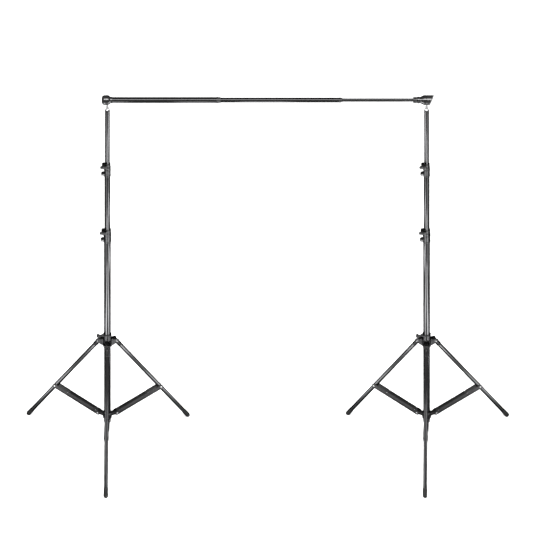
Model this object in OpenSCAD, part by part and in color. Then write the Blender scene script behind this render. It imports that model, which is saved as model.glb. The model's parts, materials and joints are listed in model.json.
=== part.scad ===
// Background support system: two tripod stands carrying a telescopic crossbar.
// Millimetres, +Z up. The origin is on the floor, at the centre of the whole footprint.
// Each stand is built about its own mast axis and then moved to its place.

/* [Layout] */
// Distance between the two mast axes
stand_spacing = 1612; // [1450:1:1700]
// Height of the crossbar axis above the floor
bar_height = 2156; // [2120:1:2190]
// Turn of both tripods about their masts, in degrees
tripod_turn = -1; // [-15:0.1:15]

/* [Mast] */
// Outer diameter of the bottom mast section
bottom_d = 35; // [34:0.5:36]
// Outer diameter of the middle mast section
middle_d = 30; // [29:0.5:31]
// Outer diameter of the top mast section
top_d = 25; // [24:0.5:26]
// Wall thickness of the mast sections
mast_wall = 1.4; // [1.0:0.1:1.6]
// Height of the lower end of the bottom section
bottom_start = 146; // [140:1:150]
// Height of the lower edge of the lower clamp
lower_clamp_z = 1266; // [1200:1:1300]
// Height of the lower edge of the upper clamp
upper_clamp_z = 1680; // [1600:1:1700]
// Height of the top end of the top section
mast_top = 2095; // [2060:1:2110]
// Length of each clamp along the mast
clamp_h = 80; // [70:1:90]

/* [Tripod] */
// Leg tube diameter
leg_d = 22; // [20:0.5:22]
// Distance of the leg pivots from the mast axis
leg_pivot_r = 46; // [44:1:50]
// Height of the leg pivots
leg_pivot_z = 634; // [610:1:650]
// Distance of the foot centres from the mast axis
foot_r = 463; // [430:1:480]
// Radius of the round foot end
foot_end_r = 12; // [11.8:0.1:13]
// Distance of the brace pivots on the lower collar from the mast axis
brace_pivot_r = 50; // [48:1:54]
// Height of the brace pivots on the lower collar
brace_pivot_z = 178; // [172:1:184]
// Distance along the leg from its pivot to the brace pivot
leg_joint = 462; // [450:1:470]

/* [Crossbar] */
// Diameter of the thick crossbar section
bar_outer_d = 30; // [29:0.5:31]
// Diameter of the middle crossbar section
bar_mid_d = 25; // [24:0.5:26]
// Diameter of the thin crossbar section
bar_inner_d = 17; // [16:0.5:18]
// Distance from the left mast to the end of the thick section
bar_joint_a = 566; // [540:1:590]
// Distance from the left mast to the end of the middle section
bar_joint_b = 1182; // [1150:1:1200]
// Diameter of the crossbar heads
head_d = 50; // [46:1:52]

/* [Hidden] */
run = 0.05;                  // radial running clearance
gap = 0.3;                   // free gap between bodies
foot_z = foot_end_r - 1;     // foot centre, so that the worn flat lies on the floor
az = [for (a = [-90, 150, 30]) a + tripod_turn];
ld = [foot_r - leg_pivot_r, leg_pivot_z - foot_z];
leg_len = sqrt(ld[0]*ld[0] + ld[1]*ld[1]);
leg_tilt = atan2(ld[0], ld[1]);
jr = leg_pivot_r + leg_joint*sin(leg_tilt);
jz = leg_pivot_z - leg_joint*cos(leg_tilt);
bd = [jr - brace_pivot_r, jz - brace_pivot_z];
brace_len = sqrt(bd[0]*bd[0] + bd[1]*bd[1]);
brace_tilt = atan2(bd[1], bd[0]);
brace_in = leg_d/2 + 0.5;    // half of the space between the brace's two sides
brace_out = brace_in + 1.5;
brace_h = 12.5;              // half of the brace's depth
rb = bottom_d/2; rm = middle_d/2; rt = top_d/2;
collar_bot = leg_pivot_z - 24;
collar_top = leg_pivot_z + 56;
collar_knob_z = leg_pivot_z + 44;
collar_knob_az = 190;
clamp_seat = clamp_h*0.45;   // depth of the lower tube in its clamp
mid_in = 500;                // length of the middle section inside the bottom section
top_in = 500;
rs = [stand_spacing/2, 0];
xmin = -stand_spacing/2 + foot_r*cos(az[1]) - foot_end_r;
xmax = stand_spacing/2 + foot_r*cos(az[2]) + foot_end_r;
ymin = foot_r*sin(az[0]) - foot_end_r;
ymax = foot_r*sin(az[1]) + foot_end_r;
shift = [-(xmin + xmax)/2, -(ymin + ymax)/2, 0];
left = shift + [-stand_spacing/2, 0, 0];
right = shift + [stand_spacing/2, 0, 0];
black = [0.07, 0.07, 0.075];
dark = [0.16, 0.16, 0.165];
steel = [0.24, 0.24, 0.245];
silver = [0.75, 0.75, 0.77];
rubber = [0.05, 0.05, 0.05];
$fn = 64;

// ---- shared shapes ----
// A pipe about Z from z0 to z1
module pipe(ro, ri, z0, z1) {
    rotate_extrude() polygon([[ri, z0], [ro, z0], [ro, z1], [ri, z1]]);
}

// A cylinder about the Y axis from y0 to y1, at (x, z)
module ycyl(r, y0, y1, x, z) {
    translate([x, y1, z]) rotate([90, 0, 0]) cylinder(r = r, h = y1 - y0);
}

// A turned body about Z from a list of [radius, height] points
module turned(p) { rotate_extrude() polygon(p); }

// Rounded T-shaped thumb knob with its screw, axis along -Y, face of the lug at y = 0
module t_knob(screw_l, half_w) {
    union() {
        ycyl(3, -6, screw_l, 0, 0);
        ycyl(5.2, -4.5, -gap, 0, 0);
        ycyl(8, -10.8, -4.4, 0, 0);
        difference() {
            union() {
                translate([0, -10.7, 0]) rotate([90, 0, 0]) turned([[0, 0], [8.5, 0], [8.5, 10], [6.5, 13], [0, 13.8]]);
                translate([-half_w + 7, -22, -7]) cube([2*half_w - 14, 11.5, 14]);
                for (s = [-1, 1]) ycyl(7, -22, -10.5, s*(half_w - 7), 0);
            }
            for (s = [-1, 1]) ycyl(2.4, -23, -20.5, s*(half_w - 7), 0);
        }
    }
}

// Cast clamp about Z: lower tube radius rl seats in it, upper tube radius ru slides in it
module mast_clamp(rl, ru, z0) {
    ro = rl + 2.4;
    rr = ru + 3.2;
    lx = -(ro + 4.2);
    kx = -(rr + 4.2);
    translate([0, 0, z0]) difference() {
        union() {
            turned([[rl - 4, 0], [ro - 0.8, 0], [ro, 0.8], [ro, clamp_h - 26], [rr + 0.8, clamp_h - 20],
                    [rr, clamp_h - 16], [rr, clamp_h - 1.5], [rr - 1.5, clamp_h], [rl - 4, clamp_h]]);
            // upper lug for the thumb knob
            ycyl(8.5, -9, 9, kx, clamp_h - 10);
            translate([kx, -9, clamp_h - 18.5]) cube([-kx - ru + 4, 18, 17]);
            // lower lug for the fixing bolt
            ycyl(10.5, -9, 9, lx, 12);
            translate([lx, -9, 1.5]) cube([-lx - rl + 4, 18, 21]);
        }
        translate([0, 0, -1]) cylinder(r = rl, h = clamp_seat + 1);
        cylinder(r = ru + run, h = clamp_h + 1);
        // clamping slot through both lugs
        translate([lx - 20, -1, -1]) cube([20 - lx - ru + 3, 2, clamp_h + 2]);
        ycyl(3 + run, -30, 30, kx, clamp_h - 10);
        ycyl(2.6, -30, 30, lx, 12);
    }
    // fixing bolt with its head, washer and nut
    translate([0, 0, z0]) {
        ycyl(2.6, -9, 9, lx, 12);
        ycyl(6.5, -10, -9, lx, 12);
        ycyl(5, -13.5, -10, lx, 12);
        ycyl(5, 9, 13, lx, 12);
    }
}
module clamp_knob(rl, ru, z0) {
    translate([-(ru + 3.2 + 4.2), -9, z0 + clamp_h - 10]) t_knob(17, 17);
}

// ---- one stand, built about its mast axis ----
module s_bottom_tube() { color(black) pipe(rb, rb - mast_wall, bottom_start, lower_clamp_z + clamp_seat); }
module s_bottom_plug() { color(rubber)
    turned([[0, bottom_start - 12], [rb - 2, bottom_start - 12], [rb + 1, bottom_start - 9], [rb + 1, bottom_start],
            [rb - mast_wall, bottom_start], [rb - mast_wall, bottom_start + 20], [rb - mast_wall - 3, bottom_start + 20],
            [rb - mast_wall - 3, bottom_start - 6], [0, bottom_start - 6]]);
}
module s_lower_collar() { color(black) difference() {
    union() {
        turned([[rb - 1, brace_pivot_z - 18], [rb + 4.5, brace_pivot_z - 18], [rb + 5.5, brace_pivot_z - 17],
                [rb + 5.5, brace_pivot_z + 18], [rb + 3.5, brace_pivot_z + 21], [rb - 1, brace_pivot_z + 21]]);
        for (a = az) rotate([0, 0, a]) {
            translate([rb - 0.8, -brace_in + gap, brace_pivot_z - 8]) cube([brace_pivot_r - rb + 0.8, 2*(brace_in - gap), 16]);
            ycyl(8, -brace_in + gap, brace_in - gap, brace_pivot_r, brace_pivot_z);
        }
    }
    translate([0, 0, brace_pivot_z - 30]) cylinder(r = rb, h = 60);
    for (a = az) rotate([0, 0, a]) ycyl(3, -30, 30, brace_pivot_r, brace_pivot_z);
} }
module s_brace_rivets() { color(silver) for (a = az) rotate([0, 0, a]) {
    ycyl(3, -brace_out - gap, brace_out + gap, brace_pivot_r, brace_pivot_z);
    ycyl(5.5, -brace_out - 2.4, -brace_out - gap, brace_pivot_r, brace_pivot_z);
    ycyl(5.5, brace_out + gap, brace_out + 2.4, brace_pivot_r, brace_pivot_z);
} }
module s_lower_clamp() { color(black) mast_clamp(rb, rm, lower_clamp_z); }
module s_lower_knob() { color(dark) clamp_knob(rb, rm, lower_clamp_z); }
module s_mid_tube() { color(black)
    pipe(rm, rm - mast_wall + 0.1, lower_clamp_z + clamp_h - mid_in, upper_clamp_z + clamp_seat); }
module s_mid_bush() { color(dark)
    pipe(rb - mast_wall - run, rm, lower_clamp_z + clamp_h - mid_in, lower_clamp_z + clamp_h - mid_in + 45); }
module s_upper_clamp() { color(black) mast_clamp(rm, rt, upper_clamp_z); }
module s_upper_knob() { color(dark) clamp_knob(rm, rt, upper_clamp_z); }
module s_top_tube() { color(black)
    pipe(rt, rt - mast_wall + 0.2, upper_clamp_z + clamp_h - top_in, mast_top); }
module s_top_bush() { color(dark)
    pipe(rm - mast_wall + 0.1 - run, rt, upper_clamp_z + clamp_h - top_in, upper_clamp_z + clamp_h - top_in + 45); }
// Turned stud: plug in the tube, shouldered cone and quarter-inch tip
module s_spigot() { color(silver) turned([[0, mast_top - 40], [rt - mast_wall + 0.2, mast_top - 40],
        [rt - mast_wall + 0.2, mast_top], [8.5, mast_top], [8.5, mast_top + 6], [7.8, mast_top + 8],
        [4.2, bar_height - head_d/2 - 3], [4.2, bar_height - head_d/2 - 0.4], [3.175, bar_height - head_d/2 - 0.4],
        [3.175, bar_height - 2], [2.4, bar_height - 1], [0, bar_height - 1]]); }
module s_leg_collar() { color(black) difference() {
    union() {
        turned([[rb - 1, collar_bot], [rb + 4.5, collar_bot], [rb + 5.5, collar_bot + 1], [rb + 5.5, leg_pivot_z + 18],
                [rb + 4, leg_pivot_z + 24], [rb + 4, collar_top - 2], [rb + 2.5, collar_top], [rb - 1, collar_top]]);
        for (a = az) rotate([0, 0, a]) for (s = [0, 1]) mirror([0, s, 0]) {
            translate([10, leg_d/2 + 0.4, leg_pivot_z - 14]) cube([leg_pivot_r - 10, 4.6, 28]);
            ycyl(14, leg_d/2 + 0.4, leg_d/2 + 5, leg_pivot_r, leg_pivot_z);
        }
        translate([0, 0, collar_knob_z]) rotate([0, 0, collar_knob_az - 270]) ycyl(8, -31, -15, 0, 0);
    }
    translate([0, 0, collar_bot - 10]) cylinder(r = rb + run, h = 120);
    for (a = az) rotate([0, 0, a]) ycyl(3, -30, 30, leg_pivot_r, leg_pivot_z);
    translate([0, 0, collar_knob_z]) rotate([0, 0, collar_knob_az - 270]) ycyl(3 + run, -40, 0, 0, 0);
} }
module s_leg_bolts() { color(silver) for (a = az) rotate([0, 0, a]) {
    ycyl(3, -leg_d/2 - 5, leg_d/2 + 5, leg_pivot_r, leg_pivot_z);
    for (s = [0, 1]) mirror([0, s, 0]) {
        ycyl(6.5, leg_d/2 + 5, leg_d/2 + 6.2, leg_pivot_r, leg_pivot_z);
        ycyl(4.6, leg_d/2 + 6.2, leg_d/2 + 9, leg_pivot_r, leg_pivot_z);
    }
} }
module s_collar_knob() { color(dark)
    translate([0, 0, collar_knob_z]) rotate([0, 0, collar_knob_az - 270]) translate([0, -31, 0]) t_knob(31 - rb - gap, 15); }
module leg_place(a) { rotate([0, 0, a]) translate([leg_pivot_r, 0, leg_pivot_z]) rotate([0, -leg_tilt, 0]) children(); }
module s_leg(i) { color(black) leg_place(az[i]) difference() {
    union() {
        translate([0, 0, -leg_len + 6]) cylinder(r = leg_d/2, h = leg_len - 6);
        ycyl(leg_d/2 - 0.5, -leg_d/2 + 0.3, leg_d/2 - 0.3, 0, 0);
    }
    translate([0, 0, -leg_len]) cylinder(r = leg_d/2 - 1.2, h = leg_len - 24);
    ycyl(3 + run, -20, 20, 0, 0);
} }
module s_foot(i) { color(rubber) difference() {
    leg_place(az[i]) translate([0, 0, -leg_len]) difference() {
        union() {
            sphere(r = foot_end_r);
            turned([[0, 0], [foot_end_r, 0], [foot_end_r, 37], [foot_end_r - 0.7, 38.5], [0, 38.5]]);
        }
        translate([0, 0, 6]) cylinder(r = leg_d/2, h = 60);
    }
    translate([-600, -600, -60]) cube([1200, 1200, 60]);
} }
module side_plate(s) { mirror([0, s, 0]) {
    translate([0, brace_in, -brace_h]) cube([brace_len, brace_out - brace_in, 2*brace_h]);
    ycyl(brace_h, brace_in, brace_out, 0, 0);
    ycyl(brace_h, brace_in, brace_out, brace_len, 0);
    ycyl(5.2, brace_out - 0.5, brace_out + 2, brace_len, 0);
} }
module s_brace(i) { color(steel)
    rotate([0, 0, az[i]]) translate([brace_pivot_r, 0, brace_pivot_z]) rotate([0, -brace_tilt, 0]) difference() {
        union() {
            side_plate(0);
            side_plate(1);
            translate([17, -brace_out + 0.2, brace_h - 1.4]) cube([brace_len - 17 - 78, 2*brace_out - 0.4, 1.4]);
        }
        ycyl(3 + run, -30, 30, 0, 0);
    }
}

// ---- crossbar, axis along X, x measured from the left mast axis ----
module on_bar() { translate([left[0], left[1], bar_height]) rotate([0, 90, 0]) children(); }
module bar_outer_tube() { color(black) on_bar() pipe(bar_outer_d/2, bar_outer_d/2 - 1.3, 22, bar_joint_a - 4); }
module bar_joint_ring_a() { color(dark) on_bar() difference() {
    turned([[8, bar_joint_a - 14], [bar_outer_d/2 + 0.7, bar_joint_a - 14], [bar_outer_d/2 + 0.7, bar_joint_a - 6],
            [bar_outer_d/2 - 0.4, bar_joint_a - 2], [bar_outer_d/2 - 0.4, bar_joint_a + 2],
            [bar_mid_d/2 + 1.4, bar_joint_a + 6], [8, bar_joint_a + 6]]);
    translate([0, 0, bar_joint_a - 20]) cylinder(r = bar_outer_d/2, h = 16);
    translate([0, 0, bar_joint_a - 20]) cylinder(r = bar_mid_d/2 + run, h = 40);
} }
module bar_mid_tube() { color(black) on_bar() pipe(bar_mid_d/2, bar_mid_d/2 - 1.2, 396, bar_joint_b - 4); }
module bar_mid_bush() { color(dark) on_bar() pipe(bar_outer_d/2 - 1.3 - run, bar_mid_d/2, 396, 436); }
module bar_joint_ring_b() { color(dark) on_bar() difference() {
    turned([[6, bar_joint_b - 14], [bar_mid_d/2 + 0.7, bar_joint_b - 14], [bar_mid_d/2 + 0.7, bar_joint_b - 5],
            [bar_mid_d/2 - 1, bar_joint_b - 1], [bar_inner_d/2 + 2, bar_joint_b + 3], [bar_inner_d/2 + 1.4, bar_joint_b + 5],
            [6, bar_joint_b + 5]]);
    translate([0, 0, bar_joint_b - 20]) cylinder(r = bar_mid_d/2, h = 16);
    translate([0, 0, bar_joint_b - 20]) cylinder(r = bar_inner_d/2 + run, h = 40);
} }
module bar_inner_tube() { color(black) on_bar()
    pipe(bar_inner_d/2, bar_inner_d/2 - 1.2, bar_joint_b - 400, stand_spacing - 44); }
module bar_inner_bush() { color(dark) on_bar()
    pipe(bar_mid_d/2 - 1.2 - run, bar_inner_d/2, bar_joint_b - 400, bar_joint_b - 360); }
module bar_left_head() { color(black) difference() {
    on_bar() turned([[0, -29], [8, -29], [14, -28], [19, -25.8], [22.4, -22.5], [24.4, -18], [head_d/2, -13],
            [head_d/2, 3], [head_d/2 - 0.6, 5], [17.2, 15], [16.6, 17], [16.6, 26], [bar_outer_d/2, 26],
            [bar_outer_d/2, 22], [0, 22]]);
    translate([left[0], left[1], bar_height - head_d]) cylinder(r = 3.175 + 0.07, h = head_d + 2);
} }
module bar_right_head() { color(black) difference() {
    on_bar() turned([[0, stand_spacing - 44], [bar_inner_d/2, stand_spacing - 44], [bar_inner_d/2, stand_spacing - 48],
            [14, stand_spacing - 48], [17.5, stand_spacing - 46], [17.5, stand_spacing - 37], [16.5, stand_spacing - 36],
            [16.5, stand_spacing - 32], [head_d/2 - 0.6, stand_spacing - 15], [head_d/2, stand_spacing - 13],
            [head_d/2, stand_spacing + 50], [0, stand_spacing + 50]]);
    // oblique outer end
    translate([right[0] + 22.5, right[1], bar_height]) rotate([0, 0, 19.3]) rotate([0, 14.7, 0])
        translate([0, -100, -100]) cube([200, 200, 200]);
    translate([right[0], right[1], bar_height - head_d]) cylinder(r = 3.175 + 0.07, h = head_d + 2);
} }
module bar_right_sleeve() { color(dark) on_bar() pipe(15.4, bar_inner_d/2, stand_spacing - 68, stand_spacing - 48); }

// ---- the named pieces of each stand ----
module left_bottom_tube() { translate(left) s_bottom_tube(); }
module left_bottom_plug() { translate(left) s_bottom_plug(); }
module left_lower_collar() { translate(left) s_lower_collar(); }
module left_brace_rivets() { translate(left) s_brace_rivets(); }
module left_lower_clamp() { translate(left) s_lower_clamp(); }
module left_lower_knob() { translate(left) s_lower_knob(); }
module left_mid_tube() { translate(left) s_mid_tube(); }
module left_mid_bush() { translate(left) s_mid_bush(); }
module left_upper_clamp() { translate(left) s_upper_clamp(); }
module left_upper_knob() { translate(left) s_upper_knob(); }
module left_top_tube() { translate(left) s_top_tube(); }
module left_top_bush() { translate(left) s_top_bush(); }
module left_spigot() { translate(left) s_spigot(); }
module left_leg_collar() { translate(left) s_leg_collar(); }
module left_leg_bolts() { translate(left) s_leg_bolts(); }
module left_collar_knob() { translate(left) s_collar_knob(); }
module left_leg_front() { translate(left) s_leg(0); }
module left_leg_left() { translate(left) s_leg(1); }
module left_leg_right() { translate(left) s_leg(2); }
module left_foot_front() { translate(left) s_foot(0); }
module left_foot_left() { translate(left) s_foot(1); }
module left_foot_right() { translate(left) s_foot(2); }
module left_brace_front() { translate(left) s_brace(0); }
module left_brace_left() { translate(left) s_brace(1); }
module left_brace_right() { translate(left) s_brace(2); }

module right_bottom_tube() { translate(right) s_bottom_tube(); }
module right_bottom_plug() { translate(right) s_bottom_plug(); }
module right_lower_collar() { translate(right) s_lower_collar(); }
module right_brace_rivets() { translate(right) s_brace_rivets(); }
module right_lower_clamp() { translate(right) s_lower_clamp(); }
module right_lower_knob() { translate(right) s_lower_knob(); }
module right_mid_tube() { translate(right) s_mid_tube(); }
module right_mid_bush() { translate(right) s_mid_bush(); }
module right_upper_clamp() { translate(right) s_upper_clamp(); }
module right_upper_knob() { translate(right) s_upper_knob(); }
module right_top_tube() { translate(right) s_top_tube(); }
module right_top_bush() { translate(right) s_top_bush(); }
module right_spigot() { translate(right) s_spigot(); }
module right_leg_collar() { translate(right) s_leg_collar(); }
module right_leg_bolts() { translate(right) s_leg_bolts(); }
module right_collar_knob() { translate(right) s_collar_knob(); }
module right_leg_front() { translate(right) s_leg(0); }
module right_leg_left() { translate(right) s_leg(1); }
module right_leg_right() { translate(right) s_leg(2); }
module right_foot_front() { translate(right) s_foot(0); }
module right_foot_left() { translate(right) s_foot(1); }
module right_foot_right() { translate(right) s_foot(2); }
module right_brace_front() { translate(right) s_brace(0); }
module right_brace_left() { translate(right) s_brace(1); }
module right_brace_right() { translate(right) s_brace(2); }

left_bottom_tube();
left_bottom_plug();
left_lower_collar();
left_brace_rivets();
left_lower_clamp();
left_lower_knob();
left_mid_tube();
left_mid_bush();
left_upper_clamp();
left_upper_knob();
left_top_tube();
left_top_bush();
left_spigot();
left_leg_collar();
left_leg_bolts();
left_collar_knob();
left_leg_front();
left_leg_left();
left_leg_right();
left_foot_front();
left_foot_left();
left_foot_right();
left_brace_front();
left_brace_left();
left_brace_right();
bar_outer_tube();
bar_joint_ring_a();
bar_mid_tube();
bar_mid_bush();
bar_joint_ring_b();
bar_inner_tube();
bar_inner_bush();
bar_left_head();
bar_right_head();
bar_right_sleeve();
right_bottom_tube();
right_bottom_plug();
right_lower_collar();
right_brace_rivets();
right_lower_clamp();
right_lower_knob();
right_mid_tube();
right_mid_bush();
right_upper_clamp();
right_upper_knob();
right_top_tube();
right_top_bush();
right_spigot();
right_leg_collar();
right_leg_bolts();
right_collar_knob();
right_leg_front();
right_leg_left();
right_leg_right();
right_foot_front();
right_foot_left();
right_foot_right();
right_brace_front();
right_brace_left();
right_brace_right();
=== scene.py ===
import json
import math
import bpy
import bmesh
from mathutils import Vector, Matrix, Quaternion


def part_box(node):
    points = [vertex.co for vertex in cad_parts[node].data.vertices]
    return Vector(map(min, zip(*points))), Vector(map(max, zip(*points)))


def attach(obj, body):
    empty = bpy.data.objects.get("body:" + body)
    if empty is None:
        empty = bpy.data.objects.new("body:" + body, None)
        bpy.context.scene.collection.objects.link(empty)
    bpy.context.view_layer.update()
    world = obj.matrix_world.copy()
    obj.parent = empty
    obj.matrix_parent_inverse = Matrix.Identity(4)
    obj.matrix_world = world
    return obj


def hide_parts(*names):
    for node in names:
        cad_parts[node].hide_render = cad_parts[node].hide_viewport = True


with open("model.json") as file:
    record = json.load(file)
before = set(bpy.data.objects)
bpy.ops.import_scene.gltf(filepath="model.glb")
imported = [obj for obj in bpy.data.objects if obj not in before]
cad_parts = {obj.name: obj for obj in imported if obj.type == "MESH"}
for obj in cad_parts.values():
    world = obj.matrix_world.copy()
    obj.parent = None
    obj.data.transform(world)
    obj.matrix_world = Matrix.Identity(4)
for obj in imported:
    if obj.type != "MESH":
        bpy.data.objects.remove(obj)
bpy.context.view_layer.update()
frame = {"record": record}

MM = 0.001

# ------------------------------------------------------------------ places
JOINTS = {j["name"]: j for j in frame["record"]["behaviour"]["joints"]}


def nbox(node):
    lo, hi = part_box(node)
    return Vector(lo), Vector(hi)


AXIS = {}
for side in ("left", "right"):
    lo, hi = nbox(side + "_bottom_tube")
    AXIS[side] = Vector(((lo.x + hi.x) / 2, (lo.y + hi.y) / 2, 0.0))
TURN = -1.0
AZ = {"front": -90 + TURN, "left": 150 + TURN, "right": 30 + TURN}
LEG_R, LEG_Z = 46.0, 634.0
FOOT_R, FOOT_Z = 463.0, 11.0
BR_R, BR_Z = 50.0, 178.0
JOINT_AT = 462.0
LEG_LEN = math.hypot(FOOT_R - LEG_R, LEG_Z - FOOT_Z)
LEG_TILT = math.degrees(math.atan2(FOOT_R - LEG_R, LEG_Z - FOOT_Z))
JR = LEG_R + JOINT_AT * math.sin(math.radians(LEG_TILT))
JZ = LEG_Z - JOINT_AT * math.cos(math.radians(LEG_TILT))
BR_LEN = math.hypot(JR - BR_R, JZ - BR_Z)
BR_TILT = math.degrees(math.atan2(JZ - BR_Z, JR - BR_R))
BAR_Z = 2156.0
SPAN = 1612.0


def rot(axis, deg):
    return Matrix.Rotation(math.radians(deg), 4, axis)


def at(x, y, z):
    return Matrix.Translation(Vector((x, y, z)))


def leg_frame(k):
    """Local frame at a leg's pivot, in mm: -Z runs down the leg, Y is the pivot axis."""
    return rot("Z", AZ[k]) @ at(LEG_R, 0, LEG_Z) @ rot("Y", -LEG_TILT)


def brace_frame(k):
    """Local frame at a brace's inner pivot: +X runs along the brace, Z is its top side."""
    return rot("Z", AZ[k]) @ at(BR_R, 0, BR_Z) @ rot("Y", -BR_TILT)


# ------------------------------------------------------------------ node helpers
class Mat:
    """A Principled material with procedural detail in the object's own space."""

    def __init__(self, name, rough=0.4, metallic=0.0, coat=None, tint=None, ior=None, spec=None):
        self.m = bpy.data.materials.new(name)
        self.m.use_nodes = True
        self.t = self.m.node_tree
        self.b = self.t.nodes["Principled BSDF"]
        self.b.inputs["Metallic"].default_value = metallic
        self.b.inputs["Roughness"].default_value = rough
        if ior is not None:
            self.b.inputs["IOR"].default_value = ior
        if spec is not None:
            self.b.inputs["Specular IOR Level"].default_value = spec
        if tint is not None:
            self.b.inputs["Specular Tint"].default_value = (*tint, 1.0)
        if coat is not None:
            self.b.inputs["Coat Weight"].default_value = coat[0]
            self.b.inputs["Coat Roughness"].default_value = coat[1]
        self.tc = self.n("ShaderNodeTexCoord")
        self.pos = self.tc.outputs["Object"]

    def n(self, kind, **kw):
        node = self.t.nodes.new(kind)
        for k, v in kw.items():
            setattr(node, k, v)
        return node

    def link(self, a, b):
        self.t.links.new(a, b)
        return b

    def math(self, op, a, b=None, clamp=False):
        node = self.n("ShaderNodeMath", operation=op, use_clamp=clamp)
        for i, v in enumerate((a, b)):
            if v is None:
                continue
            if isinstance(v, (int, float)):
                node.inputs[i].default_value = v
            else:
                self.link(v, node.inputs[i])
        return node.outputs[0]

    def noise(self, scale, detail=3.0, rough=0.55, vec=None, dist=0.0):
        node = self.n("ShaderNodeTexNoise")
        node.inputs["Scale"].default_value = scale
        node.inputs["Detail"].default_value = detail
        node.inputs["Roughness"].default_value = rough
        node.inputs["Distortion"].default_value = dist
        self.link(vec or self.pos, node.inputs["Vector"])
        return node.outputs["Fac"]

    def along(self, axis, across, along):
        """Coordinates squeezed so that a noise runs in long lines along an axis."""
        dot = self.n("ShaderNodeVectorMath", operation="DOT_PRODUCT")
        self.link(self.pos, dot.inputs[0])
        dot.inputs[1].default_value = axis
        par = self.n("ShaderNodeVectorMath", operation="SCALE")
        par.inputs[0].default_value = axis
        self.link(dot.outputs["Value"], par.inputs["Scale"])
        perp = self.n("ShaderNodeVectorMath", operation="SUBTRACT")
        self.link(self.pos, perp.inputs[0])
        self.link(par.outputs[0], perp.inputs[1])
        a = self.n("ShaderNodeVectorMath", operation="SCALE")
        self.link(perp.outputs[0], a.inputs[0])
        a.inputs["Scale"].default_value = across
        b = self.n("ShaderNodeVectorMath", operation="SCALE")
        self.link(par.outputs[0], b.inputs[0])
        b.inputs["Scale"].default_value = along
        s = self.n("ShaderNodeVectorMath", operation="ADD")
        self.link(a.outputs[0], s.inputs[0])
        self.link(b.outputs[0], s.inputs[1])
        return s.outputs[0]

    def remap(self, v, a, b, c, d, smooth=True):
        node = self.n("ShaderNodeMapRange", clamp=True)
        if smooth:
            node.interpolation_type = "SMOOTHSTEP"
        self.link(v, node.inputs["Value"])
        for k, x in zip(("From Min", "From Max", "To Min", "To Max"), (a, b, c, d)):
            node.inputs[k].default_value = x
        return node.outputs["Result"]

    def mix(self, fac, a, b):
        node = self.n("ShaderNodeMix", data_type="RGBA")
        if isinstance(fac, (int, float)):
            node.inputs[0].default_value = fac
        else:
            self.link(fac, node.inputs[0])
        for i, v in ((6, a), (7, b)):
            if isinstance(v, tuple):
                node.inputs[i].default_value = (*v, 1.0)
            else:
                self.link(v, node.inputs[i])
        return node.outputs[2]

    def colour(self, v):
        self.link(v, self.b.inputs["Base Color"])

    def roughness(self, v):
        self.link(v, self.b.inputs["Roughness"])

    def bump(self, *heights):
        """heights: (value socket, strength, distance in metres), coarse first"""
        last = None
        for v, strength, dist in heights:
            node = self.n("ShaderNodeBump")
            node.inputs["Strength"].default_value = strength
            node.inputs["Distance"].default_value = dist
            self.link(v, node.inputs["Height"])
            if last is not None:
                self.link(last, node.inputs["Normal"])
            last = node.outputs["Normal"]
        self.link(last, self.b.inputs["Normal"])

    def edges(self, lo=0.52, hi=0.62):
        geo = self.n("ShaderNodeNewGeometry")
        return self.remap(geo.outputs["Pointiness"], lo, hi, 0.0, 1.0)

    def up_dust(self, amount, scale=60.0):
        geo = self.n("ShaderNodeNewGeometry")
        sep = self.n("ShaderNodeSeparateXYZ")
        self.link(geo.outputs["Normal"], sep.inputs[0])
        up = self.remap(sep.outputs["Z"], 0.35, 1.0, 0.0, 1.0)
        patch = self.remap(self.noise(scale, 4.0, 0.6), 0.42, 0.72, 0.15, 1.0)
        return self.math("MULTIPLY", self.math("MULTIPLY", up, patch), amount)


def tube_material(name, axis, base=0.02, worn=0.04, rough=(0.09, 0.14)):
    """Black anodised drawn tube: die lines along it, faint rub marks and hazy patches."""
    k = Mat(name, metallic=1.0, tint=(0.12, 0.12, 0.13))
    lines = k.noise(1.0, 3.0, 0.6, k.along(axis, 900.0, 3.0))
    broad = k.noise(1.0, 2.0, 0.5, k.along(axis, 130.0, 1.5))
    patch = k.noise(9.0, 4.0, 0.6)
    speck = k.noise(700.0, 2.0, 0.5)
    rub = k.math("MULTIPLY", k.remap(k.noise(1.0, 4.0, 0.65, k.along(axis, 260.0, 9.0)), 0.60, 0.74, 0.0, 1.0),
                 k.remap(patch, 0.45, 0.65, 0.0, 1.0))
    c = k.mix(k.remap(lines, 0.3, 0.7, 0.0, 1.0), (base * 0.88, base * 0.88, base * 0.9), (base * 1.1, base * 1.1, base * 1.13))
    c = k.mix(k.math("MULTIPLY", rub, 0.55), c, (worn, worn, worn * 1.02))
    c = k.mix(k.up_dust(0.10), c, (0.06, 0.058, 0.055))
    k.colour(c)
    r = k.remap(patch, 0.3, 0.7, rough[0], rough[1])
    r = k.math("ADD", r, k.math("MULTIPLY", k.math("SUBTRACT", lines, 0.5), 0.10))
    r = k.math("ADD", r, k.math("MULTIPLY", rub, 0.08), clamp=True)
    k.roughness(r)
    k.bump((broad, 0.10, 0.0002), (lines, 0.16, 0.00005), (speck, 0.08, 0.00003))
    return k.m


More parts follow.
